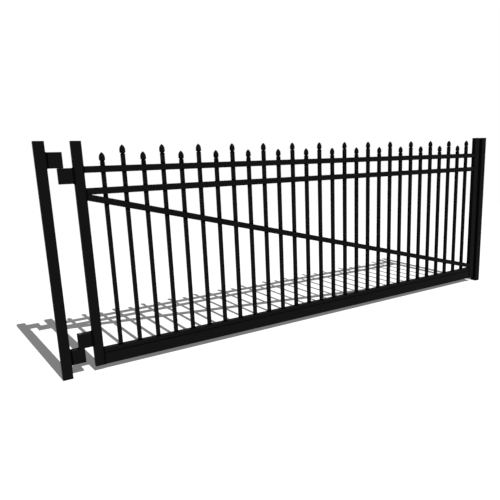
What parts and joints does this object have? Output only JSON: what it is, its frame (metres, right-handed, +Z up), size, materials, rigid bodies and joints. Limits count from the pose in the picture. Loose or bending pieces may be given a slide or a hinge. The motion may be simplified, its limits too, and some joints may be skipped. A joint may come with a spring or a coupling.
{
  "type": "single-leaf swing gate",
  "caption": "Wide single-leaf swing gate of square tube with spear-topped pickets and a diagonal brace, hinged on one of two free-standing posts.",
  "frame": {"origin": "middle of the hinge post's foot, on its flat face at ground level", "axes": "+X along the closed leaf from the hinge post to the latch post, +Y to the back, +Z up"},
  "size_m": [4.004, 0.06, 1.452],
  "materials": {
    "coated_tube": "satin black powder coat",
    "cap_plate": "satin black powder coat",
    "hinge_block": "satin black powder coat on machined bar",
    "cast_finial": "satin black powder coat on a casting",
    "pin_steel": "greased bare steel"
  },
  "bodies": {
    "posts": {"hinge_post": "coated_tube", "hinge_post_foot_plate": "coated_tube", "hinge_post_cap": "cap_plate", "latch_post": "coated_tube", "latch_post_foot_plate": "coated_tube", "latch_post_cap": "cap_plate", "top_hinge_post_block": "hinge_block", "bottom_hinge_post_block": "hinge_block", "top_hinge_pin": "pin_steel", "bottom_hinge_pin": "pin_steel"},
    "leaf": {"hinge_upright": "coated_tube", "hinge_upright_cap": "cap_plate", "latch_upright": "coated_tube", "latch_upright_cap": "cap_plate", "top_rail": "coated_tube", "second_rail": "coated_tube", "lower_rail": "coated_tube", "bottom_tube": "coated_tube", "diagonal_brace": "coated_tube", "top_hinge_leaf_block": "hinge_block", "bottom_hinge_leaf_block": "hinge_block", "picket_01": "coated_tube", "picket_02": "coated_tube", "picket_03": "coated_tube", "picket_04": "coated_tube", "picket_05": "coated_tube", "picket_06": "coated_tube", "picket_07": "coated_tube", "picket_08": "coated_tube", "picket_09": "coated_tube", "picket_10": "coated_tube", "picket_11": "coated_tube", "picket_12": "coated_tube", "picket_13": "coated_tube", "picket_14": "coated_tube", "picket_15": "coated_tube", "picket_16": "coated_tube", "picket_17": "coated_tube", "picket_18": "coated_tube", "picket_19": "coated_tube", "picket_20": "coated_tube", "picket_21": "coated_tube", "picket_22": "coated_tube", "picket_23": "coated_tube", "picket_24": "coated_tube", "picket_25": "coated_tube", "picket_26": "coated_tube", "picket_27": "coated_tube", "picket_28": "coated_tube", "short_finials": "cast_finial", "tall_finials": "cast_finial"}
  },
  "joints": [
    {"name": "leaf_swing", "type": "hinge", "parent": "posts", "child": "leaf", "pos_m": [0.099, 0, 0.178], "axis": [0, 0, 1], "range_deg": [-90, 90]}
  ]
}
